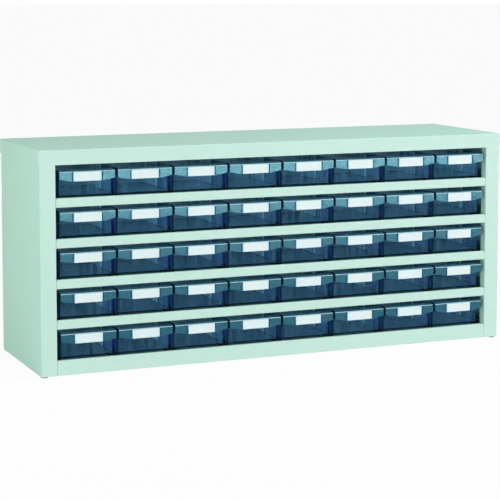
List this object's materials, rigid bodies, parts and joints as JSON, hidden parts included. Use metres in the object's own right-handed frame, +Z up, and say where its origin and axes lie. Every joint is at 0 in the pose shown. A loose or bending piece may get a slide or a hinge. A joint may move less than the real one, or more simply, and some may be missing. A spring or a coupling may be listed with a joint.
{
  "type": "parts bin cabinet",
  "caption": "Low, wide steel cabinet with rows of clear blue pull-out bins, each with a hooded front pull that holds a blank label card and a divider inside.",
  "frame": {"origin": "middle of the bounding box, at the underside of the foot pads", "axes": "+X to the right as seen from the front, along the long side; +Y to the back, so the drawers face -Y and pull out along -Y; +Z up"},
  "size_m": [0.88, 0.2514, 0.382],
  "materials": {
    "painted_steel": "pale mint green semi-gloss stoved enamel on folded sheet steel",
    "tinted_plastic": "clear, blue-tinted, glossy moulded polystyrene",
    "label_card": "smooth white card",
    "guide_plastic": "dark grey moulded plastic",
    "foot_rubber": "matt black rubber",
    "rivet_aluminium": "bright domed rivet heads"
  },
  "bodies": {
    "cabinet": {"top_panel": "painted_steel", "bottom_panel": "painted_steel", "left_side_panel": "painted_steel", "right_side_panel": "painted_steel", "back_panel": "painted_steel", "back_rivets": "rivet_aluminium", "foot_front_left": "foot_rubber", "foot_front_right": "foot_rubber", "foot_back_left": "foot_rubber", "foot_back_right": "foot_rubber", "shelf_1": "painted_steel", "shelf_2": "painted_steel", "shelf_3": "painted_steel", "shelf_4": "painted_steel", "guide_strips_row_1": "guide_plastic", "guide_strips_row_2": "guide_plastic", "guide_strips_row_3": "guide_plastic", "guide_strips_row_4": "guide_plastic", "guide_strips_row_5": "guide_plastic"},
    "drawer_r1_c1": {"drawer_r1_c1": "tinted_plastic"},
    "drawer_r1_c2": {"drawer_r1_c2": "tinted_plastic"},
    "drawer_r1_c3": {"drawer_r1_c3": "tinted_plastic"},
    "drawer_r1_c4": {"drawer_r1_c4": "tinted_plastic"},
    "drawer_r1_c5": {"drawer_r1_c5": "tinted_plastic"},
    "drawer_r1_c6": {"drawer_r1_c6": "tinted_plastic"},
    "drawer_r1_c7": {"drawer_r1_c7": "tinted_plastic"},
    "drawer_r1_c8": {"drawer_r1_c8": "tinted_plastic"},
    "drawer_r2_c1": {"drawer_r2_c1": "tinted_plastic"},
    "drawer_r2_c2": {"drawer_r2_c2": "tinted_plastic"},
    "drawer_r2_c3": {"drawer_r2_c3": "tinted_plastic"},
    "drawer_r2_c4": {"drawer_r2_c4": "tinted_plastic"},
    "drawer_r2_c5": {"drawer_r2_c5": "tinted_plastic"},
    "drawer_r2_c6": {"drawer_r2_c6": "tinted_plastic"},
    "drawer_r2_c7": {"drawer_r2_c7": "tinted_plastic"},
    "drawer_r2_c8": {"drawer_r2_c8": "tinted_plastic"},
    "drawer_r3_c1": {"drawer_r3_c1": "tinted_plastic"},
    "drawer_r3_c2": {"drawer_r3_c2": "tinted_plastic"},
    "drawer_r3_c3": {"drawer_r3_c3": "tinted_plastic"},
    "drawer_r3_c4": {"drawer_r3_c4": "tinted_plastic"},
    "drawer_r3_c5": {"drawer_r3_c5": "tinted_plastic"},
    "drawer_r3_c6": {"drawer_r3_c6": "tinted_plastic"},
    "drawer_r3_c7": {"drawer_r3_c7": "tinted_plastic"},
    "drawer_r3_c8": {"drawer_r3_c8": "tinted_plastic"},
    "drawer_r4_c1": {"drawer_r4_c1": "tinted_plastic"},
    "drawer_r4_c2": {"drawer_r4_c2": "tinted_plastic"},
    "drawer_r4_c3": {"drawer_r4_c3": "tinted_plastic"},
    "drawer_r4_c4": {"drawer_r4_c4": "tinted_plastic"},
    "drawer_r4_c5": {"drawer_r4_c5": "tinted_plastic"},
    "drawer_r4_c6": {"drawer_r4_c6": "tinted_plastic"},
    "drawer_r4_c7": {"drawer_r4_c7": "tinted_plastic"},
    "drawer_r4_c8": {"drawer_r4_c8": "tinted_plastic"},
    "drawer_r5_c1": {"drawer_r5_c1": "tinted_plastic"},
    "drawer_r5_c2": {"drawer_r5_c2": "tinted_plastic"},
    "drawer_r5_c3": {"drawer_r5_c3": "tinted_plastic"},
    "drawer_r5_c4": {"drawer_r5_c4": "tinted_plastic"},
    "drawer_r5_c5": {"drawer_r5_c5": "tinted_plastic"},
    "drawer_r5_c6": {"drawer_r5_c6": "tinted_plastic"},
    "drawer_r5_c7": {"drawer_r5_c7": "tinted_plastic"},
    "drawer_r5_c8": {"drawer_r5_c8": "tinted_plastic"}
  },
  "joints": [
    {"name": "drawer_r1_c1_slide", "type": "slide", "parent": "cabinet", "child": "drawer_r1_c1", "axis": [0, -1, 0], "range_m": [0, 0.18]},
    {"name": "drawer_r1_c2_slide", "type": "slide", "parent": "cabinet", "child": "drawer_r1_c2", "axis": [0, -1, 0], "range_m": [0, 0.18]},
    {"name": "drawer_r1_c3_slide", "type": "slide", "parent": "cabinet", "child": "drawer_r1_c3", "axis": [0, -1, 0], "range_m": [0, 0.18]},
    {"name": "drawer_r1_c4_slide", "type": "slide", "parent": "cabinet", "child": "drawer_r1_c4", "axis": [0, -1, 0], "range_m": [0, 0.18]},
    {"name": "drawer_r1_c5_slide", "type": "slide", "parent": "cabinet", "child": "drawer_r1_c5", "axis": [0, -1, 0], "range_m": [0, 0.18]},
    {"name": "drawer_r1_c6_slide", "type": "slide", "parent": "cabinet", "child": "drawer_r1_c6", "axis": [0, -1, 0], "range_m": [0, 0.18]},
    {"name": "drawer_r1_c7_slide", "type": "slide", "parent": "cabinet", "child": "drawer_r1_c7", "axis": [0, -1, 0], "range_m": [0, 0.18]},
    {"name": "drawer_r1_c8_slide", "type": "slide", "parent": "cabinet", "child": "drawer_r1_c8", "axis": [0, -1, 0], "range_m": [0, 0.18]},
    {"name": "drawer_r2_c1_slide", "type": "slide", "parent": "cabinet", "child": "drawer_r2_c1", "axis": [0, -1, 0], "range_m": [0, 0.18]},
    {"name": "drawer_r2_c2_slide", "type": "slide", "parent": "cabinet", "child": "drawer_r2_c2", "axis": [0, -1, 0], "range_m": [0, 0.18]},
    {"name": "drawer_r2_c3_slide", "type": "slide", "parent": "cabinet", "child": "drawer_r2_c3", "axis": [0, -1, 0], "range_m": [0, 0.18]},
    {"name": "drawer_r2_c4_slide", "type": "slide", "parent": "cabinet", "child": "drawer_r2_c4", "axis": [0, -1, 0], "range_m": [0, 0.18]},
    {"name": "drawer_r2_c5_slide", "type": "slide", "parent": "cabinet", "child": "drawer_r2_c5", "axis": [0, -1, 0], "range_m": [0, 0.18]},
    {"name": "drawer_r2_c6_slide", "type": "slide", "parent": "cabinet", "child": "drawer_r2_c6", "axis": [0, -1, 0], "range_m": [0, 0.18]},
    {"name": "drawer_r2_c7_slide", "type": "slide", "parent": "cabinet", "child": "drawer_r2_c7", "axis": [0, -1, 0], "range_m": [0, 0.18]},
    {"name": "drawer_r2_c8_slide", "type": "slide", "parent": "cabinet", "child": "drawer_r2_c8", "axis": [0, -1, 0], "range_m": [0, 0.18]},
    {"name": "drawer_r3_c1_slide", "type": "slide", "parent": "cabinet", "child": "drawer_r3_c1", "axis": [0, -1, 0], "range_m": [0, 0.18]},
    {"name": "drawer_r3_c2_slide", "type": "slide", "parent": "cabinet", "child": "drawer_r3_c2", "axis": [0, -1, 0], "range_m": [0, 0.18]},
    {"name": "drawer_r3_c3_slide", "type": "slide", "parent": "cabinet", "child": "drawer_r3_c3", "axis": [0, -1, 0], "range_m": [0, 0.18]},
    {"name": "drawer_r3_c4_slide", "type": "slide", "parent": "cabinet", "child": "drawer_r3_c4", "axis": [0, -1, 0], "range_m": [0, 0.18]},
    {"name": "drawer_r3_c5_slide", "type": "slide", "parent": "cabinet", "child": "drawer_r3_c5", "axis": [0, -1, 0], "range_m": [0, 0.18]},
    {"name": "drawer_r3_c6_slide", "type": "slide", "parent": "cabinet", "child": "drawer_r3_c6", "axis": [0, -1, 0], "range_m": [0, 0.18]},
    {"name": "drawer_r3_c7_slide", "type": "slide", "parent": "cabinet", "child": "drawer_r3_c7", "axis": [0, -1, 0], "range_m": [0, 0.18]},
    {"name": "drawer_r3_c8_slide", "type": "slide", "parent": "cabinet", "child": "drawer_r3_c8", "axis": [0, -1, 0], "range_m": [0, 0.18]},
    {"name": "drawer_r4_c1_slide", "type": "slide", "parent": "cabinet", "child": "drawer_r4_c1", "axis": [0, -1, 0], "range_m": [0, 0.18]},
    {"name": "drawer_r4_c2_slide", "type": "slide", "parent": "cabinet", "child": "drawer_r4_c2", "axis": [0, -1, 0], "range_m": [0, 0.18]},
    {"name": "drawer_r4_c3_slide", "type": "slide", "parent": "cabinet", "child": "drawer_r4_c3", "axis": [0, -1, 0], "range_m": [0, 0.18]},
    {"name": "drawer_r4_c4_slide", "type": "slide", "parent": "cabinet", "child": "drawer_r4_c4", "axis": [0, -1, 0], "range_m": [0, 0.18]},
    {"name": "drawer_r4_c5_slide", "type": "slide", "parent": "cabinet", "child": "drawer_r4_c5", "axis": [0, -1, 0], "range_m": [0, 0.18]},
    {"name": "drawer_r4_c6_slide", "type": "slide", "parent": "cabinet", "child": "drawer_r4_c6", "axis": [0, -1, 0], "range_m": [0, 0.18]},
    {"name": "drawer_r4_c7_slide", "type": "slide", "parent": "cabinet", "child": "drawer_r4_c7", "axis": [0, -1, 0], "range_m": [0, 0.18]},
    {"name": "drawer_r4_c8_slide", "type": "slide", "parent": "cabinet", "child": "drawer_r4_c8", "axis": [0, -1, 0], "range_m": [0, 0.18]},
    {"name": "drawer_r5_c1_slide", "type": "slide", "parent": "cabinet", "child": "drawer_r5_c1", "axis": [0, -1, 0], "range_m": [0, 0.18]},
    {"name": "drawer_r5_c2_slide", "type": "slide", "parent": "cabinet", "child": "drawer_r5_c2", "axis": [0, -1, 0], "range_m": [0, 0.18]},
    {"name": "drawer_r5_c3_slide", "type": "slide", "parent": "cabinet", "child": "drawer_r5_c3", "axis": [0, -1, 0], "range_m": [0, 0.18]},
    {"name": "drawer_r5_c4_slide", "type": "slide", "parent": "cabinet", "child": "drawer_r5_c4", "axis": [0, -1, 0], "range_m": [0, 0.18]},
    {"name": "drawer_r5_c5_slide", "type": "slide", "parent": "cabinet", "child": "drawer_r5_c5", "axis": [0, -1, 0], "range_m": [0, 0.18]},
    {"name": "drawer_r5_c6_slide", "type": "slide", "parent": "cabinet", "child": "drawer_r5_c6", "axis": [0, -1, 0], "range_m": [0, 0.18]},
    {"name": "drawer_r5_c7_slide", "type": "slide", "parent": "cabinet", "child": "drawer_r5_c7", "axis": [0, -1, 0], "range_m": [0, 0.18]},
    {"name": "drawer_r5_c8_slide", "type": "slide", "parent": "cabinet", "child": "drawer_r5_c8", "axis": [0, -1, 0], "range_m": [0, 0.18]}
  ]
}
